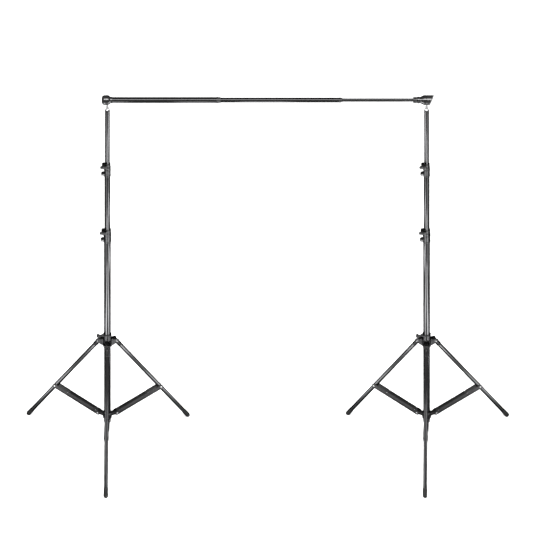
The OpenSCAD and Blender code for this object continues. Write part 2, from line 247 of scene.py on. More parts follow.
def moulded_material(name, base, rough=(0.3, 0.42), grain=900.0, grain_h=0.00006, worn=0.06, dust=0.12, edge=0.4, tint=(0.2, 0.2, 0.21)):
    """Glass-filled black moulding: fine mould texture, flow haze, scuffed high edges, a little dust on top."""
    k = Mat(name, metallic=1.0, tint=tint)
    g = k.noise(grain, 2.0, 0.5)
    haze = k.noise(22.0, 4.0, 0.6, dist=0.6)
    marks = k.remap(k.noise(1.0, 5.0, 0.7, k.along((0.35, 0.2, 0.915), 500.0, 40.0)), 0.64, 0.74, 0.0, 1.0)
    wear = k.math("MULTIPLY", k.edges(), k.remap(k.noise(140.0, 4.0, 0.65), 0.38, 0.66, 0.1, 1.0))
    c = k.mix(k.remap(haze, 0.3, 0.7, 0.0, 1.0), (base * 0.86, base * 0.86, base * 0.88), (base * 1.15, base * 1.15, base * 1.17))
    c = k.mix(k.math("MULTIPLY", wear, edge), c, (worn, worn, worn))
    c = k.mix(k.math("MULTIPLY", marks, 0.25), c, (worn, worn, worn))
    c = k.mix(k.up_dust(dust), c, (0.09, 0.087, 0.082))
    k.colour(c)
    r = k.remap(haze, 0.3, 0.7, rough[0], rough[1])
    r = k.math("ADD", r, k.math("MULTIPLY", k.math("SUBTRACT", g, 0.5), 0.12))
    r = k.math("ADD", r, k.math("MULTIPLY", k.math("ADD", wear, marks), 0.12), clamp=True)
    k.roughness(r)
    k.bump((haze, 0.06, 0.0004), (g, 0.35, grain_h))
    return k.m


def painted_material(name, base, rough=(0.42, 0.58)):
    """Satin paint on pressed steel: orange peel, chips at the edges where bare metal shows."""
    k = Mat(name, metallic=1.0, tint=(0.3, 0.3, 0.3))
    peel = k.noise(420.0, 2.0, 0.5)
    haze = k.noise(14.0, 4.0, 0.6)
    chipn = k.noise(260.0, 5.0, 0.7)
    chips = k.math("MULTIPLY", k.edges(0.53, 0.60), k.remap(chipn, 0.56, 0.62, 0.0, 1.0))
    spots = k.remap(k.noise(90.0, 5.0, 0.7), 0.70, 0.74, 0.0, 1.0)
    bare = k.math("MAXIMUM", chips, k.math("MULTIPLY", spots, 0.5))
    c = k.mix(k.remap(haze, 0.3, 0.7, 0.0, 1.0), (base * 0.88, base * 0.88, base * 0.9), (base * 1.12, base * 1.12, base * 1.13))
    c = k.mix(k.math("MULTIPLY", bare, 0.8), c, (0.22, 0.217, 0.21))
    c = k.mix(k.up_dust(0.1), c, (0.09, 0.088, 0.083))
    k.colour(c)
    r = k.remap(haze, 0.3, 0.7, rough[0], rough[1])
    r = k.math("ADD", r, k.math("MULTIPLY", k.math("SUBTRACT", peel, 0.5), 0.15), clamp=True)
    k.roughness(r)
    k.bump((haze, 0.05, 0.0005), (peel, 0.30, 0.00008), (k.math("SUBTRACT", 1.0, bare), 0.4, 0.00006))
    return k.m


def metal_material(name, base, rough=(0.2, 0.34), tint=(0.9, 0.9, 0.9), turn=None):
    """Bright zinc or turned metal: fine tool marks, water-spot haze and dull pits."""
    k = Mat(name, metallic=1.0, tint=tint)
    fine = k.noise(1.0, 3.0, 0.6, k.along(turn or (0.0, 0.0, 1.0), 60.0, 2400.0)) if turn else k.noise(1500.0, 3.0, 0.6)
    haze = k.noise(180.0, 4.0, 0.6)
    pits = k.remap(k.noise(900.0, 3.0, 0.6), 0.62, 0.70, 0.0, 1.0)
    c = k.mix(k.remap(haze, 0.3, 0.7, 0.0, 1.0), (base * 0.85, base * 0.85, base * 0.87), (base * 1.05, base * 1.05, base * 1.06))
    c = k.mix(k.math("MULTIPLY", pits, 0.5), c, (base * 0.45, base * 0.44, base * 0.43))
    k.colour(c)
    r = k.remap(haze, 0.3, 0.7, rough[0], rough[1])
    r = k.math("ADD", r, k.math("MULTIPLY", k.math("SUBTRACT", fine, 0.5), 0.15))
    r = k.math("ADD", r, k.math("MULTIPLY", pits, 0.2), clamp=True)
    k.roughness(r)
    k.bump((fine, 0.25, 0.00004), (pits, 0.3, 0.00003))
    return k.m


def rubber_material(name, base=0.028):
    k = Mat(name, metallic=1.0, tint=(0.25, 0.25, 0.25))
    g = k.noise(1200.0, 3.0, 0.6)
    haze = k.noise(70.0, 4.0, 0.6)
    wear = k.math("MULTIPLY", k.edges(0.52, 0.6), k.remap(k.noise(300.0, 4.0, 0.6), 0.4, 0.65, 0.2, 1.0))
    c = k.mix(k.remap(haze, 0.3, 0.7, 0.0, 1.0), (base * 0.85, base * 0.85, base * 0.85), (base * 1.2, base * 1.2, base * 1.2))
    c = k.mix(k.math("MULTIPLY", wear, 0.5), c, (0.09, 0.088, 0.085))
    c = k.mix(k.up_dust(0.3, 120.0), c, (0.08, 0.078, 0.074))
    k.colour(c)
    k.roughness(k.remap(haze, 0.3, 0.7, 0.62, 0.82))
    k.bump((haze, 0.1, 0.0003), (g, 0.5, 0.00008))
    return k.m


def axis_of(k):
    v = leg_frame(k).to_3x3() @ Vector((0, 0, -1))
    return tuple(v.normalized())


MAT = {
    "mast": tube_material("black_tube_mast", (0.0, 0.0, 1.0)),
    "bar": tube_material("black_tube_bar", (1.0, 0.0, 0.0), base=0.016),
    "moulding": moulded_material("clamp_moulding", 0.016, rough=(0.26, 0.36)),
    "head": moulded_material("head_moulding", 0.034, rough=(0.14, 0.22), grain=600.0, grain_h=0.00003),
    "trim": moulded_material("trim_satin", 0.024, rough=(0.3, 0.42)),
    "knob": moulded_material("knob_matte", 0.028, rough=(0.5, 0.62), grain=1300.0, grain_h=0.0001, worn=0.09),
    "nylon": moulded_material("bush_nylon", 0.06, rough=(0.4, 0.5)),
    "rubber": rubber_material("foot_rubber", 0.02),
    "brace": painted_material("brace_paint", 0.017, rough=(0.4, 0.54)),
    "zinc": metal_material("zinc_fastener", 0.26),
    "bolt": metal_material("dark_bolt", 0.14, rough=(0.28, 0.4)),
    "spigot": metal_material("turned_stud", 0.4, rough=(0.22, 0.34), turn=(0.0, 0.0, 1.0)),
}
for k in AZ:
    MAT["leg_" + k] = tube_material("leg_tube_" + k, axis_of(k), base=0.028, rough=(0.12, 0.2))

# ------------------------------------------------------------------ mesh helpers (all in mm)


def soften(points, r, steps=3, closed=False):
    """Rounds the corners of a profile."""
    n = len(points)
    out = []
    for i, p in enumerate(points):
        if not closed and i in (0, n - 1):
            out.append(tuple(p))
            continue
        a, b, c = Vector(points[i - 1]), Vector(p), Vector(points[(i + 1) % n])
        la, lc = (a - b).length, (c - b).length
        if la < 1e-6 or lc < 1e-6:
            continue
        cosang = (a - b).normalized().dot((c - b).normalized())
        if cosang < -0.985:
            out.append(tuple(b))
            continue
        d = min(r, la * 0.45, lc * 0.45)
        p0, p1 = b + (a - b).normalized() * d, b + (c - b).normalized() * d
        for s in range(steps + 1):
            t = s / steps
            q = p0 * (1 - t) ** 2 + b * 2 * t * (1 - t) + p1 * t ** 2
            out.append(tuple(q))
    return out


def lathe_bm(bm, profile, seg=48, m=Matrix(), closed=False):
    """Turns a (radius, height) profile about Z into a closed shell."""
    rings = []
    for r, z in profile:
        if r < 1e-6:
            rings.append([bm.verts.new(m @ Vector((0, 0, z)))])
        else:
            rings.append([bm.verts.new(m @ Vector((r * math.cos(2 * math.pi * i / seg), r * math.sin(2 * math.pi * i / seg), z)))
                          for i in range(seg)])
    pairs = list(zip(rings, rings[1:] + ([rings[0]] if closed else [])))
    if not closed:
        pairs = list(zip(rings[:-1], rings[1:]))
    for a, b in pairs:
        if len(a) == 1 and len(b) == 1:
            continue
        for i in range(seg):
            j = (i + 1) % seg
            if len(a) == 1:
                bm.faces.new((a[0], b[j], b[i]))
            elif len(b) == 1:
                bm.faces.new((a[i], a[j], b[0]))
            else:
                bm.faces.new((a[i], a[j], b[j], b[i]))
    return bm


def box_bm(bm, lo, hi, m=Matrix()):
    v = [bm.verts.new(m @ Vector((x, y, z))) for x in (lo[0], hi[0]) for y in (lo[1], hi[1]) for z in (lo[2], hi[2])]
    for f in ((0, 1, 3, 2), (4, 6, 7, 5), (0, 4, 5, 1), (2, 3, 7, 6), (0, 2, 6, 4), (1, 5, 7, 3)):
        bm.faces.new([v[i] for i in f])
    return bm


def cyl_bm(bm, r, p0, p1, seg=40, m=Matrix(), r1=None):
    """A closed round bar between two points."""
    p0, p1 = Vector(p0), Vector(p1)
    q = (p1 - p0).to_track_quat("Z", "Y").to_matrix().to_4x4()
    h = (p1 - p0).length
    return lathe_bm(bm, [(0, 0), (r, 0), (r if r1 is None else r1, h), (0, h)], seg, m @ Matrix.Translation(p0) @ q)


def ball_bm(bm, radii, centre, m=Matrix(), seg=32):
    steps = seg // 2
    prof = [(math.sin(math.pi * i / steps), -math.cos(math.pi * i / steps)) for i in range(steps + 1)]
    prof[0], prof[-1] = (0, -1), (0, 1)
    s = Matrix.Diagonal((*radii, 1.0))
    return lathe_bm(bm, prof, seg, m @ Matrix.Translation(Vector(centre)) @ s)


def prism_bm(bm, outline, y0, y1, m=Matrix()):
    """A flat plate whose outline lies in the XZ plane, between y0 and y1."""
    a = [bm.verts.new(m @ Vector((x, y0, z))) for x, z in outline]
    b = [bm.verts.new(m @ Vector((x, y1, z))) for x, z in outline]
    n = len(outline)
    bm.faces.new(a)
    bm.faces.new(list(reversed(b)))
    for i in range(n):
        j = (i + 1) % n
        bm.faces.new((a[j], a[i], b[i], b[j]))
    return bm


def arc(cx, cz, r, a0, a1, n):
    return [(cx + r * math.cos(math.radians(a0 + (a1 - a0) * i / n)), cz + r * math.sin(math.radians(a0 + (a1 - a0) * i / n)))
            for i in range(n + 1)]


def to_mesh(bm, name):
    bmesh.ops.recalc_face_normals(bm, faces=bm.faces[:])
    me = bpy.data.meshes.new(name)
    bm.to_mesh(me)
    bm.free()
    return me


def tmp_object(me):
    ob = bpy.data.objects.new("tmp_" + me.name, me)
    bpy.context.scene.collection.objects.link(ob)
    return ob


def baked(ob):
    """The object's mesh with its modifiers applied; the temporary object goes."""
    dg = bpy.context.evaluated_depsgraph_get()
    dg.update()
    me = bpy.data.meshes.new_from_object(ob.evaluated_get(dg))
    bpy.data.objects.remove(ob)
    return me


def islands(bm):
    """Each closed shell of a bmesh as a mesh of its own."""
    bm.verts.index_update()
    seen, out = set(), []
    for v in bm.verts:
        if v.index in seen:
            continue
        stack, group = [v], []
        seen.add(v.index)
        while stack:
            w = stack.pop()
            group.append(w)
            for e in w.link_edges:
                u = e.other_vert(w)
                if u.index not in seen:
                    seen.add(u.index)
                    stack.append(u)
        new, at_new = bmesh.new(), {}
        for w in group:
            at_new[w.index] = new.verts.new(w.co)
        done = set()
        for w in group:
            for f in w.link_faces:
                if f in done:
                    continue
                done.add(f)
                new.faces.new([at_new[u.index] for u in f.verts])
        out.append(to_mesh(new, "shell"))
    bm.free()
    return out


def cut_away(me, cuts):
    """Takes every shell of the cutter away from the mesh, one after the other."""
    for i, c in enumerate(islands(cuts)):
        ob, cut = tmp_object(me), tmp_object(c)
        b = ob.modifiers.new("b", "BOOLEAN")
        b.operation, b.solver, b.object = "DIFFERENCE", "EXACT", cut
        me = baked(ob)
        bpy.data.objects.remove(cut)
    return me


def cast(name, bm, voxel=0.8, smooth=5, cuts=None):
    """Fuses overlapping closed shells into one skin with soft fillets, then cuts true bores and slots."""
    ob = tmp_object(to_mesh(bm, name))
    r = ob.modifiers.new("r", "REMESH")
    r.mode, r.voxel_size, r.adaptivity = "VOXEL", voxel, 0.0
    s = ob.modifiers.new("s", "SMOOTH")
    s.factor, s.iterations = 0.5, smooth
    me = baked(ob)
    if cuts is not None:
        me = cut_away(me, cuts)
    me.name = name
    return me


def bevelled(name, bm, width, segments=2, angle=30):
    ob = tmp_object(to_mesh(bm, name))
    b = ob.modifiers.new("b", "BEVEL")
    b.width, b.segments, b.limit_method, b.angle_limit = width, segments, "ANGLE", math.radians(angle)
    b.harden_normals = False
    me = baked(ob)
    me.name = name
    return me


PARTS = []


def piece(name, me, place, material, body, replaces=(), sharp=32):
    """Puts a mm mesh in the scene in metres, riding on a body."""
    me = me.copy()
    me.name = name
    me.transform(Matrix.Scale(MM, 4) @ place)
    me.materials.clear()
    me.materials.append(material)
    for p in me.polygons:
        p.use_smooth = True
    me.set_sharp_from_angle(angle=math.radians(sharp))
    me.update()
    ob = bpy.data.objects.new(name, me)
    bpy.context.scene.collection.objects.link(ob)
    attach(ob, body)
    if replaces:
        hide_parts(*replaces)
    PARTS.append(ob)
    return ob


# ------------------------------------------------------------------ shapes
def pipe_me(name, ro, ri, z0, z1, seg=64, r=0.5, rings=0):
    bm = bmesh.new()
    prof = [(ri, z0), (ro, z0), (ro, z1), (ri, z1)]
    prof = soften(prof, r, 2, closed=True)
    lathe_bm(bm, prof, seg, closed=True)
    return to_mesh(bm, name)


def clamp_me(name, rl, ru):
    """Moulded mast clamp, foot at z = 0: waisted sleeve, clamp ring, two lugs joined by a curved rib."""
    h = 80.0
    ro, rr = rl + 2.4, ru + 3.2
    lx, kx = -(ro + 4.2), -(rr + 4.2)
    bm = bmesh.new()
    lathe_bm(bm, soften([(0, 0), (ro - 0.3, 0), (ro + 0.2, 2), (ro + 0.2, 7), (ro - 0.5, 9), (ro - 0.5, 33), (ro + 0.2, 36),
                         (ro + 0.2, 41), (ro - 0.4, 47), (rr + 1.4, 58), (rr + 0.2, 62), (rr + 0.2, 77.5), (rr - 1.4, 80), (0, 80)],
                        1.2, 3), 72)
    # upper lug, split later, and the pad that the thumb knob bears on
    prism_bm(bm, arc(kx, h - 10, 8.3, 95, 270, 14) + [(-ru, h - 19), (-ru, h - 2)], -8.8, 8.8)
    # lower lug, a rounded ear
    prism_bm(bm, arc(lx, 12, 10.3, 100, 260, 14) + [(-rl, 1.8), (-rl, 23.5)], -8.6, 8.6)
    # curved rib between the lugs
    n = 16
    edge = []
    for i in range(n + 1):
        t = i / n
        z = 20 + (h - 17 - 20) * t
        x0 = lx + 1.0
        x1 = kx - 1.0
        x = x0 * (1 - t) + x1 * t
        x += 9.2 * math.sin(math.pi * t) ** 0.8 * (0.85 + 0.15 * t)
        edge.append((min(x, -(rl - 1.0)), z))
    prism_bm(bm, edge + [(-rl + 4, h - 17), (-rl + 4, 20)], -5.4, 5.4)
    # raised pad round the bolt
    cyl_bm(bm, 8.0, (lx, -9.3, 12), (lx, 9.3, 12))
    cuts = bmesh.new()
    lathe_bm(cuts, [(0, -2), (rl + 0.06, -2), (rl + 0.06, 36), (ru + 0.25, 36.4), (ru + 0.25, 79.2), (ru + 1.0, 80.2), (ru + 1.0, 90), (0, 90)], 72)
    box_bm(cuts, (lx - 20, -1.0, -2), (-ru + 2, 1.0, 30.5))
    box_bm(cuts, (lx - 20, -1.0, 46), (-ru + 2, 1.0, 90))
    return cast(name, bm, 0.72, 4, cuts)


def knob_me(name, half):
    """Rounded T thumb knob. Its axis is Y, the face it bears on is y = 0, and it stands out to y = -24."""
    bm = bmesh.new()
    q = Matrix.Rotation(math.radians(90), 4, "X")
    # hub with its flange, waist and dome
    lathe_bm(bm, soften([(0, 0.5), (5.1, 0.5), (5.1, 4.2), (7.4, 4.8), (6.9, 9), (8.3, 14), (8.3, 20.6), (6.4, 23.4), (3.0, 24.2), (0, 24.3)], 1.2, 3), 40, q)
    # bar of the T: thick rounded ends, slightly pinched next to the hub
    for s in (-1, 1):
        for i in range(11):
            t = i / 10
            x = s * (2 + (half - 2 - 7.0) * t)
            rz = 6.3 + 0.75 * (1.6 * t - 0.6) ** 2
            ball_bm(bm, (6.9, 5.7, rz), (x, -16.2, 0), seg=24)
            cyl_bm(bm, rz, (x, -20.6, 0), (x, -11.6, 0), 32)
    cuts = bmesh.new()
    for s in (-1, 1):
        cyl_bm(cuts, 2.4, (s * (half - 7), -24, 0), (s * (half - 7), -20.6, 0), 28)
    return cast(name, bm, 0.6, 4, cuts)


def screw_me(name, screw, r=3.0, pitch=1.25):
    """Knob screw along +Y from y = 0 with ring threads."""
    prof = [(0, -6), (r, -6), (r, 0)]
    y = 0.0
    while y < screw - 1.6:
        prof += [(r, y), (r - 0.45, y + pitch * 0.45), (r, y + pitch * 0.9)]
        y += pitch
    prof += [(r - 0.6, screw), (0, screw)]
    bm = bmesh.new()
    lathe_bm(bm, prof, 28, Matrix.Rotation(math.radians(-90), 4, "X"))
    return to_mesh(bm, name)


def hex_bolt_me(name, r_washer, hexr, y0, y1, head, nut=True):
    """A bolt across a lug: washer and hexagon head in front at y0, nut behind at y1."""
    bm = bmesh.new()
    q = Matrix.Rotation(math.radians(90), 4, "X")
    lathe_bm(bm, soften([(2.7, -y0), (r_washer, -y0), (r_washer, -y0 + 1.1), (2.7, -y0 + 1.1)], 0.25, 2, closed=True), 40, q, closed=True)
    for base, side in (((-y0 + 1.1), 1), ((-y1), -1)):
        seg = 6
        h = head if side == 1 else 4.0
        prof = [(0, base), (hexr, base), (hexr, base + side * (h - 0.7)), (hexr - 0.9, base + side * h), (0, base + side * (h - (0.6 if side == 1 else 0)))]
        lathe_bm(bm, prof, seg, q @ Matrix.Rotation(math.radians(12), 4, "Z"))
    cyl_bm(bm, 2.55, (0, y0, 0), (0, y1 + 6.2, 0), 28)
    return bevelled(name, bm, 0.22, 2, 25)


def rivet_me(name, r, y, h, shank=None, r_washer=None):
    """Domed rivet heads standing out from a pair of faces at y = +-y, along the Y axis."""
    bm = bmesh.new()
    for s in (-1, 1):
        m = Matrix.Rotation(math.radians(-90 * s), 4, "X")
        prof = [(0, y)]
        base = y
        if r_washer:
            prof += [(r_washer, y), (r_washer, y + 0.7), (r, y + 0.75)]
            base = y + 0.75
        else:
            prof += [(r, y)]
        for i in range(1, 8):
            a = math.pi / 2 * i / 8
            prof.append((r * math.cos(a), base + 0.3 + (h - 0.3) * math.sin(a)))
        prof.append((0, base + h))
        if shank is not None:
            prof[0] = (0, y - shank)
            prof.insert(1, (2.95, y - shank))
            prof.insert(2, (2.95, y))
        lathe_bm(bm, prof, 36, m)
    return to_mesh(bm, name)


def leg_collar_me():
    rb = 17.5
    bm = bmesh.new()
    lathe_bm(bm, soften([(0, 610), (rb + 4.2, 610), (rb + 5.4, 611.5), (rb + 5.4, 617), (rb + 4.6, 619), (rb + 4.6, 648), (rb + 5.4, 650.5),
                         (rb + 5.0, 655), (rb + 3.6, 660), (rb + 3.6, 684), (rb + 4.2, 686), (rb + 4.0, 688), (rb + 2.4, 690), (0, 690)], 1.2, 3), 72)
    for k in AZ:
        m = rot("Z", AZ[k])
        for s in (-1, 1):
            y0, y1 = sorted((s * 11.5, s * 15.9))
            prism_bm(bm, arc(46, 634, 13.8, -90, 90, 18) + [(40, 647.8), (26, 650), (14, 650), (14, 616), (26, 616), (40, 620.2)], y0, y1, m)
            cyl_bm(bm, 9.2, (46, s * 12.0, 634), (46, s * 16.3, 634), 40, m)
            # gusset between ear and sleeve
            prism_bm(bm, [(14, 648), (20, 656), (24, 656), (33, 645), (33, 640), (14, 640)], *sorted((s * 12.2, s * 15.2)), m)
    kz = 678.0
    a = math.radians(190)
    d = Vector((math.cos(a), math.sin(a), 0))
    cyl_bm(bm, 8.2, d * 12 + Vector((0, 0, kz)), d * 30.6 + Vector((0, 0, kz)), 40)
    cyl_bm(bm, 9.2, d * 12 + Vector((0, 0, kz)), d * 25 + Vector((0, 0, kz)), 40)
    cuts = bmesh.new()
    cyl_bm(cuts, rb + 0.25, (0, 0, 600), (0, 0, 700), 72)
    return cast("leg_collar_skin", bm, 0.8, 4, cuts)


def lower_collar_me():
    rb = 17.5
    bm = bmesh.new()
    lathe_bm(bm, soften([(0, 160), (rb + 4.5, 160), (rb + 5.4, 161.5), (rb + 5.4, 168), (rb + 4.7, 170), (rb + 4.7, 186), (rb + 5.4, 188),
                         (rb + 5.2, 193), (rb + 3.2, 199), (0, 199)], 1.2, 3), 72)
    for k in AZ:
        m = rot("Z", AZ[k])
        prism_bm(bm, arc(50, 178, 7.9, -90, 90, 14) + [(16, 185.9), (16, 170.1)], -11.1, 11.1, m)
        prism_bm(bm, [(16, 192), (24, 191), (34, 185), (34, 176), (16, 164)], -3.0, 3.0, m)
    cuts = bmesh.new()
    cyl_bm(cuts, rb + 0.06, (0, 0, 150), (0, 0, 210), 72)
    for k in AZ:
        m = rot("Z", AZ[k])
        # lightening pockets in the lug ends
        for s in (-1, 1):
            prism_bm(cuts, [(28, 180.5), (41, 180.5), (41, 174.5), (28, 174.5)], *sorted((s * 8.9, s * 12)), m)
    return cast("lower_collar_skin", bm, 0.8, 4, cuts)


def brace_me():
    """Pressed U channel folded from a flat blank, with stiffening beads in both sides."""
    L = BR_LEN
    yo, top, R = 12.25, 11.75, 2.0
    s_web = yo - R
    s_bend = s_web + math.pi / 2 * R
    h_top = top - R
    sh = lambda h: s_bend + (h_top - h)
    x0, x1 = 17.0, L - 78.0
    half = []
    # web's left edge from the middle outwards, then relief, flange top, ends and bottom
    for i in range(9):
        t = i / 8
        half.append((x0 + 9 * (1 - t) ** 1.6, s_web * t))
    half += [(x0, s_bend - 0.01), (x0 - 2.6, s_bend + 0.8), (x0 - 3.4, sh(12.4) + 1.2), (x0 - 4.6, sh(12.4))]
    for i in range(25):
        a = math.radians(90 + 180 * i / 24)
        half.append((12.4 * math.cos(a), sh(12.4 * math.sin(a))))
    for i in range(25):
        a = math.radians(-90 + 180 * i / 24)
        half.append((L + 12.4 * math.cos(a), sh(12.4 * math.sin(a))))
    half += [(x1 + 4.6, sh(12.4)), (x1 + 3.4, sh(12.4) + 1.2), (x1 + 2.6, s_bend + 0.8), (x1, s_bend - 0.01)]
    for i in range(9):
        t = 1 - i / 8
        half.append((x1 - 14 * (1 - t) ** 1.6, s_web * t))
    bm = bmesh.new()
    # the outline is walked up one half and down the other
    up = half
    other = [(x, -s) for x, s in half]
    loop = [p for p in up] + [p for p in reversed(other)]
    clean = []
    for p in loop:
        if not clean or (Vector(p) - Vector(clean[-1])).length > 1e-4:
            clean.append(p)
    if (Vector(clean[0]) - Vector(clean[-1])).length < 1e-4:
        clean.pop()
    bm.faces.new([bm.verts.new((x, s, 0)) for x, s in clean])
    bmesh.ops.triangulate(bm, faces=bm.faces[:])

    def cutline(co, no):
        g = bm.verts[:] + bm.edges[:] + bm.faces[:]
        bmesh.ops.bisect_plane(bm, geom=g, dist=1e-5, plane_co=co, plane_no=no)

    for sgn in (-1, 1):
        for i in range(7):
            cutline((0, sgn * (s_web + (s_bend - s_web) * i / 6), 0), (0, 1, 0))
        for h in (5.6, 4.7, 3.6, 1.8, 0, -1.8, -3.6, -4.7, -5.6):
            cutline((0, sgn * sh(h), 0), (0, 1, 0))
    xs = [x0, x1]
    b0, b1 = 27.0, L - 28.0
    xs += [b0 + 5.6 * (1 - math.cos(math.radians(90 * i / 5))) for i in range(6)]
    xs += [b1 - 5.6 * (1 - math.cos(math.radians(90 * i / 5))) for i in range(6)]
    xs += [b0 + 5.6 + (b1 - b0 - 11.2) * i / 12 for i in range(1, 12)]
    for x in xs:
        cutline((x, 0, 0), (1, 0, 0))
    bmesh.ops.remove_doubles(bm, verts=bm.verts[:], dist=1e-3)
    for v in bm.verts:
        x, s = v.co.x, v.co.y
        sg = 1 if s >= 0 else -1
        a = abs(s)
        in_web = x0 - 0.05 <= x <= x1 + 0.05
        if a >= s_bend - 1e-4 or not in_web:
            hh = h_top + (s_bend - a)
            y = yo
            # raised bead: a long stadium along the middle of the side
            cx = min(max(x, b0 + 5.6), b1 - 5.6)
            d = math.hypot(x - cx, hh)
            t = min(max((5.6 - d) / 2.2, 0.0), 1.0)
            y += 0.65 * t * t * (3 - 2 * t)
            v.co = Vector((x, sg * y, hh))
        elif a > s_web:
            ph = (a - s_web) / R
            v.co = Vector((x, sg * (s_web + R * math.sin(ph)), h_top + R * math.cos(ph)))
        else:
            v.co = Vector((x, s, top))
    ob = tmp_object(to_mesh(bm, "brace_skin"))
    so = ob.modifiers.new("so", "SOLIDIFY")
    so.thickness, so.offset, so.use_even_offset = 1.35, 0.0, True
    be = ob.modifiers.new("be", "BEVEL")
    be.width, be.segments, be.limit_method, be.angle_limit = 0.3, 2, "ANGLE", math.radians(50)
    me = baked(ob)
    me.name = "brace_skin"
    return me


def leg_me():
    """Drawn leg tube from the moulded top fitting down into the foot."""
    prof = soften([(9.8, -LEG_LEN + 6.2), (10.95, -LEG_LEN + 6.2), (10.95, -17.0), (9.8, -17.0)], 0.4, 2, closed=True)
    bm = bmesh.new()
    lathe_bm(bm, prof, 56, closed=True)
    return to_mesh(bm, "leg_skin")


def leg_cap_me():
    """Moulded top fitting: sleeve over the tube, flat cheeks at the pivot, rounded end."""
    bm = bmesh.new()
    lathe_bm(bm, soften([(0, -46), (11.4, -46), (11.9, -44.5), (12.0, -20), (11.6, -17), (10.6, -14), (10.2, -2), (9.0, 3.6), (5.5, 7.4), (0, 8.4)], 1.2, 3), 56)
    cyl_bm(bm, 10.2, (0, -10.4, 0), (0, 10.4, 0), 48)
    cyl_bm(bm, 8.6, (0, -11.0, 0), (0, 11.0, 0), 48)
    cuts = bmesh.new()
    cyl_bm(cuts, 10.97, (0, 0, -60), (0, 0, -18), 56)
    cyl_bm(cuts, 3.06, (0, -14, 0), (0, 14, 0), 28)
    return cast("leg_cap_skin", bm, 0.7, 4, cuts)


def foot_me():
    """Rubber foot with grip rings, worn flat where it stands."""
    R = 11.9
    prof = [(0, -R)]
    for i in range(1, 15):
        a = math.pi / 2 * i / 15
        prof.append((R * math.sin(a), -R * math.cos(a)))
    prof += [(R, 0), (R, 5)]
    z = 6.0
    for i in range(4):
        prof += [(R, z), (R - 0.75, z + 0.7), (R - 0.75, z + 1.5), (R, z + 2.2), (R, z + 4.2)]
        z += 4.8
    prof += [(R, z + 0.5), (R, 36.0), (R - 0.25, 37.4), (R - 0.9, 38.2), (11.02, 38.2), (11.02, 8.0), (0, 8.0)]
    bm = bmesh.new()
    lathe_bm(bm, prof, 56)
    return to_mesh(bm, "foot_skin")


# ------------------------------------------------------------------ both stands
RB, RM, RT = 17.5, 15.0, 12.5
LCZ, UCZ = 1266.0, 1680.0
low_clamp = clamp_me("lower_clamp_skin", RB, RM)
up_clamp = clamp_me("upper_clamp_skin", RM, RT)
big_knob = knob_me("knob_skin", 17.0)
small_knob = knob_me("small_knob_skin", 15.0)
collar_skin = leg_collar_me()
low_collar_skin = lower_collar_me()
brace_skin = brace_me()
leg_skin = leg_me()
cap_skin = leg_cap_me()
foot_skin = foot_me()
outer_rivet = rivet_me("brace_stub_skin", 4.0, 12.95, 2.0)
low_rivet = rivet_me("low_rivet_skin", 4.0, 13.3, 2.0)
leg_rivet = rivet_me("leg_bolt_skin", 3.4, 16.4, 3.2)
knob_screw = screw_me("knob_screw_skin", 17.0)
small_screw = screw_me("small_screw_skin", 13.0)
low_bolt = hex_bolt_me("clamp_bolt_skin", 6.4, 5.0, -9.4, 9.4, 3.4)

